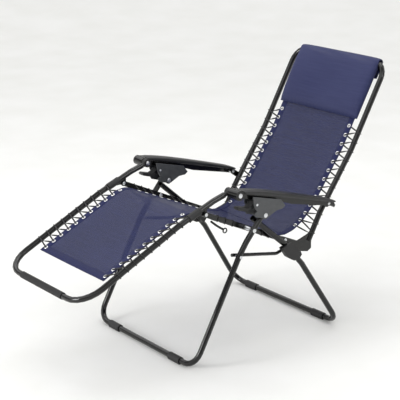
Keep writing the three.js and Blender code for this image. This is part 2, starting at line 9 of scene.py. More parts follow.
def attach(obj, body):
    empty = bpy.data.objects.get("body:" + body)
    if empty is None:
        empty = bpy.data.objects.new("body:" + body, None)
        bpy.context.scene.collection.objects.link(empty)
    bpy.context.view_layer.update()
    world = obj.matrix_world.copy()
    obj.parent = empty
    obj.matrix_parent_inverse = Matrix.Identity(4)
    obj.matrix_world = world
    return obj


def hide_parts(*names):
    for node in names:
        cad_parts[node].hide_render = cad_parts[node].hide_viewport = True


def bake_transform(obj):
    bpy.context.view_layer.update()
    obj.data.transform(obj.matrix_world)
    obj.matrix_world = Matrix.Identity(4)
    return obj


# A zero gravity recliner: a black steel tube frame with a laced mesh sling, built piece by piece
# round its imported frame.
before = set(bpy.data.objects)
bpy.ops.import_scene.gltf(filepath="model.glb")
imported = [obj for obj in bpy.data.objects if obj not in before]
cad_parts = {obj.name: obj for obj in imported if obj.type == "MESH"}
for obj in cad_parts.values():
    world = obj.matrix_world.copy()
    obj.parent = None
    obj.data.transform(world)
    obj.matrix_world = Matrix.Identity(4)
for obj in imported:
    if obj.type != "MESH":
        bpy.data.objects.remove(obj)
bpy.context.view_layer.update()

# ---- Camera ----
# A long lens, high on the sitter's left and in front of the footrest, as in a shop's studio.
# There are no free cords: the lacing is held on the frame all the way.
eye = Vector((3.70346, -2.84431, 1.94851))
aim = Vector((-0.1394, 0.0959, 0.4752))
camera = bpy.data.objects.new("camera", bpy.data.cameras.new("camera"))
camera.data.lens = 113.886
camera.data.sensor_width = 36
camera.location = eye
camera.rotation_mode = "QUATERNION"
camera.rotation_quaternion = ((aim - eye).to_track_quat("-Z", "Y")
                              @ Quaternion((0, 0, 1), math.radians(-0.472)))
bpy.context.scene.collection.objects.link(camera)
bpy.context.scene.camera = camera
bpy.context.scene.view_settings.view_transform = "Standard"


# ---- Studio floor and lights ----
# A seamless roll of pale paper, flat under the chair and rising in a wide curve behind it,
# with a soft light overhead, a stronger one low in front, a small one on the near side and the
# room's own light all round.
def linear(code):
    """An sRGB hex colour as linear RGBA: a channel c becomes ((c + 0.055) / 1.055) to the 2.4,
    or c / 12.92 where it is dark."""
    channels = np.array([int(code[i:i + 2], 16) / 255 for i in (1, 3, 5)])
    low, high = channels / 12.92, ((channels + 0.055) / 1.055) ** 2.4
    return (*np.where(channels <= 0.04045, low, high).tolist(), 1.0)


def add(tree, kind, sockets=None, **settings):
    """Adds one node. Settings are its attributes, sockets its inputs: each a value or an output."""
    made = tree.nodes.new(kind)
    for key, value in settings.items():
        setattr(made, key, value)
    for key, value in (sockets or {}).items():
        if isinstance(value, bpy.types.NodeSocket):
            tree.links.new(value, made.inputs[key])
        else:
            made.inputs[key].default_value = value
    return made


def new_material(name):
    """An empty node material and its tree."""
    made = bpy.data.materials.new(name)
    made.use_nodes = True
    made.node_tree.nodes.clear()
    return made, made.node_tree


def shade(tree, sockets):
    """Closes a tree with a Principled shader on these sockets."""
    shader = add(tree, "ShaderNodeBsdfPrincipled", sockets)
    add(tree, "ShaderNodeOutputMaterial", {"Surface": shader.outputs["BSDF"]})


def ramp(tree, fac, stops):
    """A colour ramp on fac, with (place, hex colour) stops."""
    made = add(tree, "ShaderNodeValToRGB", {"Fac": fac})
    band = made.color_ramp.elements
    while len(band) < len(stops):
        band.new(0.5)
    for element, (place, code) in zip(band, stops):
        element.position, element.color = place, linear(code)
    return made.outputs["Color"]


def grid_faces(rows, columns, wrap=False):
    """Quads of a grid numbered row by row. With wrap, the last column joins the first."""
    i, j = np.meshgrid(np.arange(rows - 1), np.arange(columns - (not wrap)), indexing="ij")
    k = (j + 1) % columns
    quads = np.stack([i * columns + j, i * columns + k,
                      (i + 1) * columns + k, (i + 1) * columns + j], -1)
    return quads.reshape(-1, 4).tolist()


def new_piece(name, points, faces, finish, closed=True, uv=None):
    """A smooth mesh piece at the origin. A closed one gets its faces turned outwards."""
    mesh = bpy.data.meshes.new(name)
    mesh.from_pydata(np.asarray(points, float).reshape(-1, 3).tolist(), [], faces)
    if uv is not None:
        corner = np.zeros(len(mesh.loops), np.int32)
        mesh.loops.foreach_get("vertex_index", corner)
        layer = mesh.uv_layers.new(name="cut")
        layer.data.foreach_set("uv", np.asarray(uv, np.float32).reshape(-1, 2)[corner].ravel())
    if closed:
        work = bmesh.new()
        work.from_mesh(mesh)
        bmesh.ops.recalc_face_normals(work, faces=work.faces)
        work.to_mesh(mesh)
        work.free()
    mesh.polygons.foreach_set("use_smooth", np.ones(len(mesh.polygons), bool))
    mesh.materials.append(finish)
    made = bpy.data.objects.new(name, mesh)
    bpy.context.scene.collection.objects.link(made)
    return made


PAPER_REACH, PAPER_FLAT, PAPER_RISE = 14.0, 6.0, 3.5
ROUND, OUTWARD = 96, 60
paper, tree = new_material("seamless background paper, uncoated")
spot = add(tree, "ShaderNodeTexCoord").outputs["Object"]
fibre = add(tree, "ShaderNodeTexNoise", {"Vector": spot, "Scale": 3.0, "Detail": 3.0})
shade(tree, {"Base Color": ramp(tree, fibre.outputs["Fac"], [(0.3, "#ededea"), (0.7, "#f2f2f0")]),
             "Roughness": 0.85, "Specular IOR Level": 0.2})
turn, out = np.meshgrid(np.linspace(0, 2 * np.pi, ROUND, endpoint=False),
                        np.linspace(0.001, 1, OUTWARD) * PAPER_REACH)
# Flat, then rising as the square of the distance past the flat.
rise = np.clip((out - PAPER_FLAT) / (PAPER_REACH - PAPER_FLAT), 0, 1) ** 2 * PAPER_RISE
roll = np.stack([out * np.cos(turn), out * np.sin(turn), rise], -1)
floor = new_piece("studio_floor", roll,
                  grid_faces(OUTWARD, ROUND, wrap=True) + [list(range(ROUND))[::-1]],
                  paper, closed=False)

for name, place, size, power in [("overhead", (-0.5, 0.7, 3.8), 2.0, 30),
                                 ("front", (-1.0, -4.6, 1.7), 1.6, 105),
                                 ("near", (4.4, 1.6, 2.8), 1.2, 24)]:
    lamp = bpy.data.objects.new(name, bpy.data.lights.new(name, "AREA"))
    lamp.data.shape, lamp.data.size, lamp.data.energy = "DISK", size, power
    lamp.location = place
    lamp.rotation_euler = (Vector((0, 0, 0.5)) - lamp.location).to_track_quat("-Z", "Y").to_euler()
    bpy.context.scene.collection.objects.link(lamp)
world = bpy.data.worlds.new("studio")
bpy.context.scene.world = world
world.use_nodes = True
# The room is a ring of softboxes, brightest from 33 to 51 degrees up, so that each tube carries
# a paler streak between darker sides. The curve goes by the sine of the height.
room = world.node_tree
height = add(room, "ShaderNodeSeparateXYZ",
             {"Vector": add(room, "ShaderNodeTexCoord").outputs["Generated"]}).outputs["Z"]
glow = add(room, "ShaderNodeFloatCurve", {"Value": height})
levels = glow.mapping.curves[0].points
for place, level in [(0.0, 0.18), (0.42, 0.18), (0.54, 0.92), (0.78, 0.92), (0.9, 0.24)]:
    levels.new(place, level)
levels[-1].location = (1.0, 0.24)
glow.mapping.update()
ROOM_LIGHT = 1.76
glow = add(room, "ShaderNodeMath", {0: glow.outputs["Value"], 1: ROOM_LIGHT},
           operation="MULTIPLY")
backing = room.nodes["Background"]
backing.inputs["Color"].default_value = linear("#f8f8f8")
room.links.new(glow.outputs["Value"], backing.inputs["Strength"])

# ---- Steel tube frames, seat rails, struts and brackets ----
# Welded steel tube of 22 mm and flat bar, bent, then powder coated gloss black.
# The coat levels to a faint orange peel, so highlights run along each tube and waver a little.
powder, tree = new_material("gloss black powder coat on steel")
spot = add(tree, "ShaderNodeTexCoord").outputs["Object"]
# An orange peel has dimples of 2 to 3 mm.
peel = add(tree, "ShaderNodeTexNoise", {"Vector": spot, "Scale": 380.0, "Detail": 2.0})
dust = add(tree, "ShaderNodeTexNoise", {"Vector": spot, "Scale": 14.0, "Detail": 5.0})
sheen = add(tree, "ShaderNodeMapRange", {"Value": dust.outputs["Fac"], "From Min": 0.3,
                                         "From Max": 0.75, "To Min": 0.12, "To Max": 0.2})
bump = add(tree, "ShaderNodeBump", {"Height": peel.outputs["Fac"], "Strength": 0.03,
                                    "Distance": 0.0002})
shade(tree, {"Base Color": ramp(tree, dust.outputs["Fac"], [(0.3, "#060606"), (0.8, "#0c0c0c")]),
             "Roughness": sheen.outputs["Result"], "Normal": bump.outputs["Normal"],
             "Specular IOR Level": 0.5})


def dress(name, finish, edge=0.0, smooth=40.0):
    """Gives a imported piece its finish: its loose triangles are welded, its sharp edges eased by
    edge metres, and its faces shaded smooth up to the angle smooth, in degrees."""
    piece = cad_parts[name]
    for holder in piece.material_slots:
        holder.material = finish
    piece.data.polygons.foreach_set("use_smooth", np.ones(len(piece.data.polygons), bool))
    weld = piece.modifiers.new("weld", "WELD")
    weld.merge_threshold = 1e-5
    if edge:
        ease = piece.modifiers.new("ease", "BEVEL")
        ease.width, ease.segments = edge, 3
        ease.limit_method, ease.angle_limit = "ANGLE", math.radians(smooth)
    split = piece.modifiers.new("crease", "EDGE_SPLIT")
    split.split_angle = math.radians(smooth)
    piece.modifiers.new("shading", "WEIGHTED_NORMAL").mode = "FACE_AREA"


for name in ["front_leg_frame", "rear_leg_frame", "legrest_frame", "backrest_frame"]:
    dress(name, powder)
for side in ["left", "right"]:
    for name in ["seat_rail_", "fold_strut_", "armrest_bar_"]:
        dress(name + side, powder, 0.001)
    for name in ["knee_bracket_", "hip_bracket_", "arm_rear_tab_"]:
        dress(name + side, powder, 0.0006)

# ---- Plastic sleeves ----
# Injection moulded polypropylene, black with a fine spark-eroded grain: the feet that grip the
# floor, the sleeves on the knee and strut, and the eyes at the end of the legrest tube.
moulded, tree = new_material("black moulded polypropylene, fine grain")
spot = add(tree, "ShaderNodeTexCoord").outputs["Object"]
# The grain is 0.8 mm, a little coarser than real so that it shows.
grain = add(tree, "ShaderNodeTexNoise", {"Vector": spot, "Scale": 1250.0, "Detail": 2.0})
wear = add(tree, "ShaderNodeTexNoise", {"Vector": spot, "Scale": 22.0, "Detail": 4.0})
bump = add(tree, "ShaderNodeBump", {"Height": grain.outputs["Fac"], "Strength": 0.25,
                                    "Distance": 0.0003})
rough = add(tree, "ShaderNodeMapRange", {"Value": wear.outputs["Fac"], "From Min": 0.3,
                                         "From Max": 0.7, "To Min": 0.46, "To Max": 0.6})
shade(tree, {"Base Color": ramp(tree, wear.outputs["Fac"], [(0.25, "#161617"), (0.8, "#222223")]),
             "Roughness": rough.outputs["Result"], "Normal": bump.outputs["Normal"], "IOR": 1.49})
for side in ["left", "right"]:
    for name in ["front_foot_sleeve_", "rear_foot_sleeve_", "knee_sleeve_", "legrest_eye_"]:
        dress(name + side, moulded, 0.0012)
    dress("strut_sleeve_" + side, moulded, 0.003)

# ---- Rivets and pins ----
# Steel rivets with domed heads, zinc plated bright: small mirrors with a soft blur.
plate, tree = new_material("bright zinc plate on steel rivets")
spot = add(tree, "ShaderNodeTexCoord").outputs["Object"]
turned = add(tree, "ShaderNodeTexNoise", {"Vector": spot, "Scale": 900.0, "Detail": 3.0})
rough = add(tree, "ShaderNodeMapRange", {"Value": turned.outputs["Fac"], "To Min": 0.18,
                                         "To Max": 0.42})
bump = add(tree, "ShaderNodeBump", {"Height": turned.outputs["Fac"], "Strength": 0.1,
                                    "Distance": 0.0002})
shade(tree, {"Base Color": ramp(tree, turned.outputs["Fac"], [(0.3, "#c9cbce"), (0.7, "#e6e8ea")]),
             "Metallic": 1.0, "Roughness": rough.outputs["Result"],
             "Normal": bump.outputs["Normal"]})
for side in ["left", "right"]:
    for name in ["seat_pivot_pin_", "knee_pin_", "hip_pin_", "arm_front_pin_", "arm_rear_pin_",
                 "lock_axle_", "lever_pin_", "strut_pin_"]:
        dress(name + side, plate, 0.0004)

# ---- Recline locks ----
# A glass-filled nylon housing under each armrest, dark grey with a satin face, and the black
# finger lever that frees its clamp.
nylon, tree = new_material("dark grey glass-filled nylon, satin")
spot = add(tree, "ShaderNodeTexCoord").outputs["Object"]
flow = add(tree, "ShaderNodeTexNoise", {"Vector": spot, "Scale": 55.0, "Detail": 5.0})
grain = add(tree, "ShaderNodeTexNoise", {"Vector": spot, "Scale": 1400.0, "Detail": 1.0})
bump = add(tree, "ShaderNodeBump", {"Height": grain.outputs["Fac"], "Strength": 0.2,
                                    "Distance": 0.0003})
rough = add(tree, "ShaderNodeMapRange", {"Value": flow.outputs["Fac"], "From Min": 0.3,
                                         "From Max": 0.7, "To Min": 0.4, "To Max": 0.52})
shade(tree, {"Base Color": ramp(tree, flow.outputs["Fac"], [(0.25, "#3b3d3f"), (0.8, "#4b4d50")]),
             "Roughness": rough.outputs["Result"], "Normal": bump.outputs["Normal"], "IOR": 1.53})
for side in ["left", "right"]:
    dress("lock_housing_" + side, nylon, 0.0015)
    dress("lock_lever_" + side, moulded, 0.001)

# ---- Armrest pads ----
# A moulded black plastic pad along each armrest bar, crowned on top and closed round at its
# rear end, with a leather grain that breaks its highlight. It starts over the front hub.
grained, tree = new_material("black moulded armrest, leather grain")
spot = add(tree, "ShaderNodeTexCoord").outputs["Object"]
# Cells of about 2.5 mm.
cells = add(tree, "ShaderNodeTexVoronoi", {"Vector": spot, "Scale": 400.0},
            feature="DISTANCE_TO_EDGE")
wear = add(tree, "ShaderNodeTexNoise", {"Vector": spot, "Scale": 16.0, "Detail": 4.0})
bump = add(tree, "ShaderNodeBump", {"Height": cells.outputs["Distance"], "Strength": 0.3,
                                    "Distance": 0.0004})
rough = add(tree, "ShaderNodeMapRange", {"Value": wear.outputs["Fac"], "From Min": 0.3,
                                         "From Max": 0.7, "To Min": 0.36, "To Max": 0.5})
shade(tree, {"Base Color": ramp(tree, wear.outputs["Fac"], [(0.25, "#1b1b1c"), (0.8, "#28282a")]),
             "Roughness": rough.outputs["Result"], "Normal": bump.outputs["Normal"], "IOR": 1.5})
ARM_FRONT, ARM_LEAN, ARM_LENGTH = (-0.07603, 0.63301), math.radians(-14.649), 0.4653
ARM_X, PAD_HALF, PAD_SIDES = 0.305, 0.0258, 40
HUB, BAR_TOP = 0.0197, 0.008
run = np.r_[np.linspace(0.008, 0.03, 12), np.linspace(0.036, ARM_LENGTH + 0.012, 60),
            ARM_LENGTH + np.array([0.018, 0.0225, 0.0255, 0.0275, 0.0285, 0.029])]
# Its top edge in millimetres, along and up from the front pivot, eased over seven stations.
top = np.interp(run, np.array([-6, 17, 40, 85, 130, 232, ARM_LENGTH * 1000 - 126,
                               ARM_LENGTH * 1000 - 18, ARM_LENGTH * 1000 + 30]) / 1000,
                np.array([16, 20.6, 24, 26.8, 28, 27.2, 24.5, 21, 14]) / 1000)
top = np.convolve(np.pad(top, 3, "edge"), np.ones(7) / 7, "valid")
# Underneath it follows the hub's circle, then the bar's top.
low = np.maximum(BAR_TOP, np.sqrt(np.clip(HUB ** 2 - run ** 2, 0, None)))
# The rear end closes in a quarter circle of 20 mm, and the front one widens over 16 mm.
tip = np.clip((run - ARM_LENGTH - 0.009) / 0.0202, 0, 1)
tip = np.sqrt(1 - tip ** 2)
nose = np.sqrt(np.clip((run - 0.0072) / 0.016, 0, 1)) * 0.3 + 0.7
turn = np.linspace(0, 2 * np.pi, PAD_SIDES, endpoint=False)
# Across, a superellipse: nearly flat underneath, crowned on top.
wide = np.sign(np.cos(turn)) * np.abs(np.cos(turn)) ** 0.55
tall = np.where(turn < np.pi, np.abs(np.sin(turn)) ** 0.75, -np.abs(np.sin(turn)) ** 0.3)
middle, half = (top + low) / 2, (top - low) / 2
up = middle[:, None] + tall[None, :] * (half * np.maximum(tip, 0.25))[:, None]
for side, sign in [("left", 1), ("right", -1)]:
    x = sign * (ARM_X + PAD_HALF * wide[None, :] * (np.maximum(tip, 0.3) * nose)[:, None])
    y = ARM_FRONT[0] + run[:, None] * math.cos(ARM_LEAN) - up * math.sin(ARM_LEAN)
    z = ARM_FRONT[1] + run[:, None] * math.sin(ARM_LEAN) + up * math.cos(ARM_LEAN)
    last = PAD_SIDES * (len(run) - 1)
    pad = new_piece("arm_pad_" + side, np.stack([x, y, z], -1),
                    grid_faces(len(run), PAD_SIDES, wrap=True)
                    + [list(range(PAD_SIDES)), list(range(last, last + PAD_SIDES))], grained)
    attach(pad, "armrest_" + side)
    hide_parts("armrest_pad_" + side)

# ---- Foot grip ----
# A sleeve of closed-cell foam pushed over the legrest's end bar.
foam, tree = new_material("black closed-cell foam, skinned")
spot = add(tree, "ShaderNodeTexCoord").outputs["Object"]
cells = add(tree, "ShaderNodeTexVoronoi", {"Vector": spot, "Scale": 550.0})
bump = add(tree, "ShaderNodeBump", {"Height": cells.outputs["Distance"], "Strength": 0.5,
                                    "Distance": 0.0006})
# Its colour is painted shade: darkest in the middle of each cell's pit, where the bump dips,
# lighter towards the rims.
shade(tree, {"Base Color": ramp(tree, cells.outputs["Distance"], [(0.0, "#1c1c1d"),
                                                                  (0.8, "#29292a")]),
             "Roughness": 0.8, "Normal": bump.outputs["Normal"], "IOR": 1.45})
dress("foot_grip", foam, 0.0015)

# ---- Sling ----
# One run of coated polyester mesh, sewn from a leg-and-seat panel and a back panel that meet in
# a seam under the sitter. The lacing along both sides holds it flat, and it is open enough that
# the tubes behind it show through as darker bands.
SLING_HALF = 0.212
CLOTH = 0.0011
# The panels' lines in side view, y and z in metres.
leg_and_seat = [(-0.6011, 0.3970), (-0.3007, 0.5429), (-0.2591, 0.5621), (-0.2261, 0.5681),
                (-0.2051, 0.5661), (-0.1562, 0.5460), (0.1261, 0.4208), (0.1668, 0.4061),
                (0.2048, 0.3961), (0.2383, 0.3931)]
back = [(0.2383, 0.3931), (0.2819, 0.4022), (0.3299, 0.4302), (0.3913, 0.4908),
        (0.5359, 0.6902), (0.7105, 0.9951)]


def even_line(points, step):
    """The line through points with its corners eased, cut at even steps, and how far along each
    cut is. The line is first cut every millimetre and run on straight for 15 mm at its ends,
    then every point becomes the mean of its neighbours within 15 mm."""
    points = np.asarray(points, float)
    run = np.r_[0, np.cumsum(np.linalg.norm(np.diff(points, axis=0), axis=1))]
    fine = np.arange(-15, run[-1] * 1000 + 16) / 1000
    slope = (points[1] - points[0]) / run[1], (points[-1] - points[-2]) / (run[-1] - run[-2])
    dense = np.stack([np.interp(fine, run, points[:, k]) for k in range(points.shape[1])], 1)
    dense += np.minimum(fine, 0)[:, None] * slope[0]
    dense += np.maximum(fine - run[-1], 0)[:, None] * slope[1]
    box = np.ones(31) / 31
    eased = np.stack([np.convolve(dense[:, k], box, "valid") for k in range(points.shape[1])], 1)
    run = np.r_[0, np.cumsum(np.linalg.norm(np.diff(eased, axis=0), axis=1))]
    at = np.linspace(0, run[-1], max(2, round(run[-1] / step) + 1))
    return np.stack([np.interp(at, run, eased[:, k]) for k in range(points.shape[1])], 1), at


def line_normals(line):
    """The upward normal at each point of a line in y and z: its direction turned a quarter turn."""
    along = np.gradient(line, axis=0)
    along /= np.linalg.norm(along, axis=1)[:, None]
    return np.stack([-along[:, 1], along[:, 0]], 1)


# Threads of 1.3 mm, drawn at 2.4 mm so that the weave shows: each square of the checker shows
# the warp or the weft, rounded by a wave across it. Alpha counts once for each of the two sides.
THREAD = 0.0024


def woven(name, dark, light, alpha, roughness):
    """Coated mesh: a basket weave in metres of the flat cut, with slow changes of shade."""
    made, tree = new_material(name)
    cut = add(tree, "ShaderNodeUVMap", uv_map="cut").outputs["UV"]
    spot = add(tree, "ShaderNodeTexCoord").outputs["Object"]
    waves = [add(tree, "ShaderNodeTexWave", {"Vector": cut, "Scale": math.pi / 10 / THREAD},
                 bands_direction=axis).outputs["Fac"] for axis in "XY"]
    turns = add(tree, "ShaderNodeTexChecker", {"Vector": cut, "Scale": 1 / THREAD}).outputs["Fac"]
    height = add(tree, "ShaderNodeMix", {"Factor": turns, "A": waves[0], "B": waves[1]})
    slow = add(tree, "ShaderNodeTexNoise", {"Vector": spot, "Scale": 5.0, "Detail": 6.0})
    # Weft yarns vary in shade along their length, so faint lines run across the cloth.
    weft = add(tree, "ShaderNodeMapping", {"Vector": cut, "Scale": (7.0, 190.0, 1.0)})
    yarn = add(tree, "ShaderNodeTexNoise", {"Vector": weft.outputs["Vector"], "Scale": 1.0,
                                            "Detail": 3.0})
    shades = add(tree, "ShaderNodeMix", {"Factor": 0.55, "A": slow.outputs["Fac"],
                                         "B": yarn.outputs["Fac"]})
    # The colour is partly painted shade from the weave's height, lighter on each thread's crown and
    # darker in the dips between threads, and partly real changes of tone.
    weave_shade_and_tone = add(tree, "ShaderNodeMix", {"Factor": 0.65, "A": height.outputs["Result"],
                                       "B": shades.outputs["Result"]})
    bump = add(tree, "ShaderNodeBump", {"Height": height.outputs["Result"], "Strength": 0.45,
                                        "Distance": 0.0005})
    shade(tree, {"Base Color": ramp(tree, weave_shade_and_tone.outputs["Result"], [(0.3, dark), (0.7, light)]),
                 "Roughness": roughness, "Normal": bump.outputs["Normal"], "Alpha": alpha,
                 "Specular IOR Level": 0.25, "Sheen Weight": 0.03, "Sheen Roughness": 0.4})
    return made


mesh_cloth = woven("navy coated polyester mesh", "#0e143e", "#242b5a", 0.83, 0.55)
hem_cloth = woven("navy mesh folded double and sewn", "#101540", "#1c2250", 1.0, 0.55)
KNEE_BEND = [(0, -0.222, 0.567), (0, -0.160, 0.547)]
HIP_BEND = [(0, 0.2383, 0.3931), (0, 0.300, 0.412)]
# Each panel: its name, line, bodies, where it bends between them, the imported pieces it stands
# for, and whether its free end is its first one.
panels = [("sling_leg_and_seat", leg_and_seat, ("legrest", "seat"), KNEE_BEND,
           ["sling_legrest", "sling_seat"], True),
          ("sling_backrest", back, ("seat", "backrest"), HIP_BEND, ["sling_back"], False)]
BAND_ACROSS = 25
for name, points, bodies, reach, nodes, first_free in panels:
    line, along = even_line(points, 0.008)
    across = np.linspace(-1, 1, 55)
    # The cloth dips 2.5 mm in the middle, between its two laced sides.
    dip = 0.0025 * (1 - across ** 2)
    up = line_normals(line)
    place = line[:, None, :] - dip[None, :, None] * up[:, None, :]
    wide = np.broadcast_to(across * SLING_HALF, place.shape[:2])
    uv = np.stack([wide, np.broadcast_to(along[:, None], wide.shape)], -1)
    sheet = new_piece(name, np.concatenate([wide[..., None], place], -1),
                      grid_faces(*wide.shape), mesh_cloth, closed=False, uv=uv)
    thick = sheet.modifiers.new("cloth", "SOLIDIFY")
    thick.thickness, thick.offset = CLOTH, 0
    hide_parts(*nodes)

    # Its side hems are 26 mm of cloth folded over a cord: a thin ribbon with a round bead at its
    # outer edge, carried along the panel's line.
    turn = np.linspace(-0.8 * np.pi, 0.8 * np.pi, 13)
    bead = np.stack([0.2115 + 0.0021 * np.cos(turn), 0.0024 * np.sin(turn)], 1)
    ribbon = np.array([(0.207, 0.0013), (0.187, 0.0011), (0.186, 0.0), (0.187, -0.0011),
                       (0.207, -0.0013)])
    profile = np.vstack([bead, ribbon])
    count = len(profile)
    girth = np.r_[0, np.cumsum(np.linalg.norm(np.diff(profile, axis=0), axis=1))]
    hems = []
    for side, sign in [("left", 1), ("right", -1)]:
        ring = line[:, None, :] + profile[None, :, 1, None] * up[:, None, :]
        wide = np.broadcast_to(sign * profile[:, 0], ring.shape[:2])
        caps = [list(range(count)), list(range((len(line) - 1) * count, len(line) * count))]
        uv = np.stack([np.broadcast_to(girth, wide.shape),
                       np.broadcast_to(along[:, None], wide.shape)], -1)
        hems.append(new_piece(f"{name}_hem_{side}", np.concatenate([wide[..., None], ring], -1),
                              grid_faces(len(line), count, wrap=True) + caps, hem_cloth, uv=uv))
    # Its end hem is 31 mm of the same across the free end, thickest where the cord lies.
    tall = np.array([(0.0, 0.0016), (0.004, 0.0028), (0.010, 0.0014), (0.030, 0.0011),
                     (0.031, 0.0), (0.030, -0.0011), (0.010, -0.0014), (0.004, -0.0028),
                     (0.0, -0.0016)])
    free, inward = (line[0], line[1] - line[0]) if first_free else (
        line[-1], line[-2] - line[-1])
    inward = inward / np.linalg.norm(inward)
    side_up = np.array([-inward[1], inward[0]]) * (1 if first_free else -1)
    band = free + tall[:, :1] * inward + tall[:, 1:] * side_up
    wide = np.linspace(-1, 1, BAND_ACROSS) * (SLING_HALF - 0.0005)
    count = len(tall)
    shape = (BAND_ACROSS, count)
    ring = np.concatenate([np.broadcast_to(wide[:, None, None], (*shape, 1)),
                           np.broadcast_to(band, (*shape, 2))], -1)
    girth = np.r_[0, np.cumsum(np.linalg.norm(np.diff(tall, axis=0), axis=1))]
    uv = np.stack([np.broadcast_to(wide[:, None], shape), np.broadcast_to(girth, shape)], -1)
    caps = [list(range(count)), list(range((BAND_ACROSS - 1) * count, BAND_ACROSS * count))]
    hems.append(new_piece(f"{name}_hem_end", ring, grid_faces(*shape, wrap=True) + caps,
                          hem_cloth, uv=uv))
    for hem in hems:
        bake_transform(hem)
    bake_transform(sheet)

# ---- Eyelets ----
# Brass eyelets, nickel plated, pressed through the side hems every 38 mm: 17 mm over their
# rolled flange, with a 7 mm hole for the lacing.
PITCH = 0.038
EYELET_IN = 0.2005
RING, ROLL = 0.0060, 0.0026
RING_SIDES, ROLL_SIDES = 12, 6
nickel, tree = new_material("nickel plated eyelets")
spot = add(tree, "ShaderNodeTexCoord").outputs["Object"]
scuff = add(tree, "ShaderNodeTexNoise", {"Vector": spot, "Scale": 700.0, "Detail": 3.0})
rough = add(tree, "ShaderNodeMapRange", {"Value": scuff.outputs["Fac"], "To Min": 0.2,
                                         "To Max": 0.4})
shade(tree, {"Base Color": ramp(tree, scuff.outputs["Fac"], [(0.3, "#ececea"), (0.7, "#fafaf8")]),
             "Metallic": 1.0, "Roughness": rough.outputs["Result"]})
sling_lines = [even_line(points, 0.001)[0] for points in (leg_and_seat, back)]


def cut_line(points, step):
    """Places and directions along a line, evenly spaced at about half of step: every other place
    is an eyelet's, and those between are where the cord crosses the frame."""
    points = np.asarray(points, float)
    run = np.r_[0, np.cumsum(np.linalg.norm(np.diff(points, axis=0), axis=1))]
    count = round(run[-1] / step)
    half = np.linspace(0, run[-1], 2 * count + 1)
    place = np.stack([np.interp(half, run, points[:, k]) for k in (0, 1)], 1)
    way = np.gradient(place, axis=0)
    return place, way / np.linalg.norm(way, axis=1)[:, None]


def eyelet_row(holes, ups, sign):
    """Rings round the holes: a circle of the roll's radius carried round one of the ring's."""
    turn = np.linspace(0, 2 * np.pi, RING_SIDES, endpoint=False)
    lap = np.linspace(0, 2 * np.pi, ROLL_SIDES, endpoint=False)
    around, tube = np.meshgrid(turn, lap, indexing="ij")
    out = RING + ROLL * np.cos(tube)
    local = np.stack([out * np.cos(around), out * np.sin(around), 1.25 * ROLL * np.sin(tube)], -1)
    along = np.stack([ups[:, 1], -ups[:, 0]], 1)
    flat = (holes[:, None, None, :] + local[None, ..., 1, None] * along[:, None, None, :]
            + local[None, ..., 2, None] * ups[:, None, None, :])
    wide = np.broadcast_to(sign * EYELET_IN + local[..., 0], flat.shape[:3])
    i, j = np.meshgrid(np.arange(RING_SIDES), np.arange(ROLL_SIDES), indexing="ij")
    here, there, k = i * ROLL_SIDES, (i + 1) % RING_SIDES * ROLL_SIDES, (j + 1) % ROLL_SIDES
    quads = np.stack([here + j, here + k, there + k, there + j], -1).reshape(-1, 4)
    first = RING_SIDES * ROLL_SIDES * np.arange(len(holes))
    faces = (quads[None] + first[:, None, None]).reshape(-1, 4).tolist()
    return np.concatenate([wide[..., None], flat], -1), faces


# ---- Lacing ----
# Braided elastic cord, 6 mm slack and drawn down to 3 mm where it is stretched round the frame;
# 4 and 2.4 mm on the seat. It comes up through each eyelet, over the frame, round it and back
# under to the next one, so it pulls the sling flat and crosses to and fro in a zigzag.
elastic, tree = new_material("black braided elastic cord")
cut = add(tree, "ShaderNodeUVMap", uv_map="cut").outputs["UV"]
# Braid strands lie at a slant, about 1.5 mm apart.
slant = [add(tree, "ShaderNodeMapping", {"Vector": cut, "Rotation": (0, 0, math.radians(angle))})
         for angle in (38, -38)]
strands = [add(tree, "ShaderNodeTexWave", {"Vector": side.outputs["Vector"],
                                           "Scale": math.pi / 10 / 0.0015}).outputs["Fac"]
           for side in slant]
braid = add(tree, "ShaderNodeMath", {0: strands[0], 1: strands[1]}, operation="MAXIMUM")
bump = add(tree, "ShaderNodeBump", {"Height": braid.outputs["Value"], "Strength": 0.5,
                                    "Distance": 0.0004})
# Its colour is painted shade: lighter on each strand's crown, darker in the grooves between
# strands.
shade(tree, {"Base Color": ramp(tree, braid.outputs["Value"], [(0.2, "#0d0d0e"),
                                                               (0.9, "#232325")]),
             "Roughness": 0.6, "Normal": bump.outputs["Normal"], "IOR": 1.5})


def lace(holes, way, middles, radii, centre, sign):
    """The cord's middle line: up through each eyelet, over the frame, round it and under to the
    next one. Round the frame it is an ellipse with these radii about centre and each middle
    point. Between all its stops runs a Catmull-Rom curve, cut in four: a cubic whose slope at
    each stop is half the chord between its neighbours."""
    up = np.stack([-way[:, 1], way[:, 0]], 1)
    turn = np.radians(np.linspace(-115, 115, 9))
    stops = []
    for i, hole in enumerate(holes):
        rise = up[2 * i]
        stops += [(EYELET_IN + 0.002, *(hole - 0.0035 * rise)), (EYELET_IN, *hole),
                  (EYELET_IN + 0.002, *(hole + 0.0035 * rise))]
        if i == len(holes) - 1 or middles[i] is None:
            continue
        slide = np.linspace(0.4, 0.6, 9)[::-1]
        base = middles[i][0] * slide[:, None] + middles[i][1] * (1 - slide)[:, None]
        level = radii[1] * np.sin(-turn)
        stops += np.column_stack([centre + radii[0] * np.cos(turn),
                                  base + level[:, None] * up[2 * i + 1]]).tolist()
    stops = np.array(stops)
    stops[:, 0] *= sign
    ends = np.vstack([2 * stops[0] - stops[1], stops, 2 * stops[-1] - stops[-2]])
    t = np.linspace(0, 1, 4, endpoint=False)[None, :, None]
    a, b, c, d = (ends[i:len(stops) - 1 + i, None, :] for i in range(4))
    curve = 0.5 * (2 * b + (c - a) * t + (2 * a - 5 * b + 4 * c - d) * t ** 2
                   + (3 * b - a - 3 * c + d) * t ** 3)
    return np.vstack([curve.reshape(-1, 3), stops[-1:]])


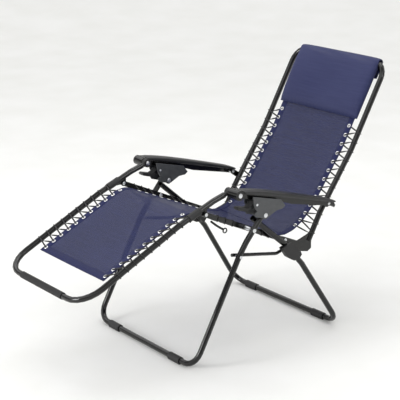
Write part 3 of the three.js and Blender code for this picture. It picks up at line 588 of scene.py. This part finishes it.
def cord_piece(name, path, along, finish, radius, sides=8):
    """A circle of radius, one number or one for each point, carried along path. It is held square
    to the path and level with along."""
    way = np.gradient(path, axis=0)
    way /= np.linalg.norm(way, axis=1)[:, None]
    first = np.cross(way, along)
    first /= np.linalg.norm(first, axis=1)[:, None]
    second = np.cross(way, first)
    turn = np.linspace(0, 2 * np.pi, sides, endpoint=False)
    spokes = (np.cos(turn)[None, :, None] * first[:, None, :]
              + np.sin(turn)[None, :, None] * second[:, None, :])
    ring = path[:, None, :] + np.broadcast_to(radius, len(path))[:, None, None] * spokes
    run = np.r_[0, np.cumsum(np.linalg.norm(np.diff(path, axis=0), axis=1))]
    uv = np.stack(np.broadcast_arrays(turn[None, :] * np.mean(radius), run[:, None]), -1)
    last = (len(path) - 1) * sides
    return new_piece(name, ring, grid_faces(len(path), sides, wrap=True)
                     + [list(range(sides)), list(range(last, last + sides))], finish, uv=uv)


def beyond(start, end, gap):
    """The point gap metres from start towards end."""
    start, end = np.array(start), np.array(end)
    return start + (end - start) * gap / np.linalg.norm(end - start)


LEG_FOOT, LEG_KNEE = (-0.72154, 0.34745), (-0.30415, 0.55013)
KNEE, HIP = (-0.18910, 0.57008), (0.19083, 0.39412)
BACK_END, BACK_LOW = (0.31789, 0.36221), (0.37895, 0.47013)
BACK_HIGH, BACK_TOP = (0.53591, 0.69019), (0.71800, 1.00814)
# Each row: its name, the frame's line, its body, its panel, the ellipse's radii and centre, the
# loops left out at the seat pivot, and the cord's radius slack and stretched.
rows = [("legrest", [beyond(LEG_FOOT, LEG_KNEE, 0.150), LEG_KNEE,
                     beyond(LEG_KNEE, ARM_FRONT, 0.062)],
         "legrest", 0, (0.0126, 0.0126), 0.260, (), (0.0030, 0.0015)),
        ("seat", [beyond(KNEE, HIP, 0.040), beyond(HIP, KNEE, 0.070)],
         "seat", 0, (0.0062, 0.0120), 0.266, (3, 4), (0.0020, 0.0012)),
        ("back", [beyond(BACK_END, BACK_LOW, 0.014), BACK_LOW, BACK_HIGH,
                  beyond(BACK_HIGH, BACK_TOP, 0.090)],
         "backrest", 1, (0.0126, 0.0126), 0.260, (), (0.0030, 0.0015))]
for name, points, body, panel, radii, centre, skipped, thick in rows:
    place, way = cut_line(points, PITCH)
    sling = sling_lines[panel]
    nearest = np.argmin(np.linalg.norm(place[::2, None, :] - sling[None], axis=2), axis=1)
    holes = sling[nearest]
    ups = line_normals(sling)[nearest]
    middles = [None if i in skipped else (place[2 * i], place[2 * i + 2])
               for i in range(len(holes) - 1)]
    for side, sign in [("left", 1), ("right", -1)]:
        rings, faces = eyelet_row(holes, ups, sign)
        row = new_piece(f"eyelets_{name}_{side}", rings, faces, nickel)
        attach(row, body)
        path = lace(holes, way, middles, radii, centre, sign)
        run = way.mean(axis=0) / np.linalg.norm(way.mean(axis=0))
        cord = cord_piece(f"elastic_{name}_{side}", path, np.array([0, *run]), elastic,
                          np.interp(np.abs(path[:, 0]), [0.240, 0.250], thick))
        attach(cord, body)
        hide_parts(f"lacing_{name}_{side}")

# ---- Lacing's end loops ----
# Each seat lacing ends in a short sewn tab and a moulded ring under its seat rail, behind the
# knee.
TAB_X, LOOP = 0.2575, 0.0085
for side, sign in [("left", 1), ("right", -1)]:
    tab = np.stack([np.full(12, sign * TAB_X), np.linspace(-0.158, -0.101, 12),
                    np.linspace(0.536, 0.494, 12)], 1)
    tab[:, 2] -= 0.002 * np.sin(np.linspace(0, np.pi, 12))
    piece = cord_piece(f"lacing_tab_{side}", tab, np.array([1.0, 0, 0]), elastic, 0.0042)
    turn = np.linspace(0, 2 * np.pi, 25)
    ring = np.stack([np.full(25, sign * TAB_X), -0.094 + LOOP * np.cos(turn),
                     0.4885 + LOOP * np.sin(turn)], 1)
    hook = cord_piece(f"lacing_ring_{side}", ring, np.array([1.0, 0, 0]), moulded, 0.0026)
    for made, finish in [(piece, "elastic"), (hook, "black_plastic")]:
        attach(made, "seat")

# ---- Head pillow ----
# A pad of polyester wadding in a sleeve of the same mesh, tied over the backrest's top bar with
# a flap hanging behind. Fullest in the middle, it thins to a seam at its lower edge and sides.
PILLOW_HALF, ACROSS, AROUND = 0.228, 121, 60
LEAN = math.radians(60.2)
pillow_cloth = woven("navy mesh over wadding", "#1c214a", "#373c62", 1.0, 0.55)
# The lining and the cover in millimetres, along the back and out from it, from the top bar.
inner = np.array([(-243, 2.6), (-225, 2.6), (-180, 2.6), (-120, 2.6), (-60, 2.6), (-22, 2.6),
                  (-13, 5.5), (-8.5, 9.5), (0, 12.4), (8.7, 8.7), (12.3, 0), (8.7, -8.7),
                  (0, -12.4), (-30, -12.7), (-63, -12.7)]) / 1000
outer = np.array([(-244, 6.5), (-232, 19), (-190, 31), (-120, 36), (-60, 34.5), (-30, 31),
                  (-14, 27), (-5, 23), (4, 18.5), (13, 12), (17, 3), (15.5, -9),
                  (3, -17), (-32, -17.4), (-65, -17)]) / 1000


def spread(points, count):
    """The points' line, cut into count points evenly along its own numbering, and each cut then
    moved to the mean of itself, counted twice, and its neighbours."""
    at = np.linspace(0, len(points) - 1, count)
    fine = np.stack([np.interp(at, np.arange(len(points)), points[:, k]) for k in (0, 1)], 1)
    fine[1:-1] = (fine[:-2] + 2 * fine[1:-1] + fine[2:]) / 4
    return fine


lining, cover = spread(inner, AROUND), spread(outer, AROUND)
share = np.linspace(-1, 1, ACROSS)
# The fullness falls off towards the sides, steeply in the last 8 %.
full = (0.86 + 0.14 * (1 - share ** 2)) * (1 - np.abs(share) ** 14) ** 0.5 * 0.92 + 0.08
# Small gathers fade out above the lower seam.
pucker = 0.0007 * np.sin(share * 61)[:, None] * np.exp(-np.arange(AROUND) / 2.5)[None, :]
skin = lining[None] + (cover - lining)[None] * full[:, None, None]
# Slack in the sleeve lies in long shallow waves across it, none at the seams.
slack = (0.0009 * np.sin(share[:, None] * 6.5 + np.arange(AROUND)[None, :] * 0.42)
         * np.sin(np.linspace(0, np.pi, AROUND))[None, :])
skin[..., 1] += (pucker + slack) * full[:, None]
loop = np.concatenate([skin, np.broadcast_to(lining[::-1], (ACROSS, AROUND, 2))], 1)
flat_y = BACK_TOP[0] + loop[..., 0] * math.cos(LEAN) - loop[..., 1] * math.sin(LEAN)
flat_z = BACK_TOP[1] + loop[..., 0] * math.sin(LEAN) + loop[..., 1] * math.cos(LEAN)
wide = np.broadcast_to(share[:, None] * PILLOW_HALF, flat_y.shape)
girth = np.concatenate([np.zeros((ACROSS, 1)), np.cumsum(np.linalg.norm(
    np.diff(loop, axis=1), axis=2), axis=1)], 1)
pillow = new_piece("pillow", np.stack([wide, flat_y, flat_z], -1),
                   grid_faces(ACROSS, 2 * AROUND, wrap=True)
                   + [list(range(2 * AROUND)),
                      list(range(2 * AROUND * (ACROSS - 1), 2 * AROUND * ACROSS))],
                   pillow_cloth, uv=np.stack([wide, girth], -1))
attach(pillow, "backrest")
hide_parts("head_pillow")

# ---- Final update ----
# Brings the scene up to date.
bpy.context.view_layer.update()
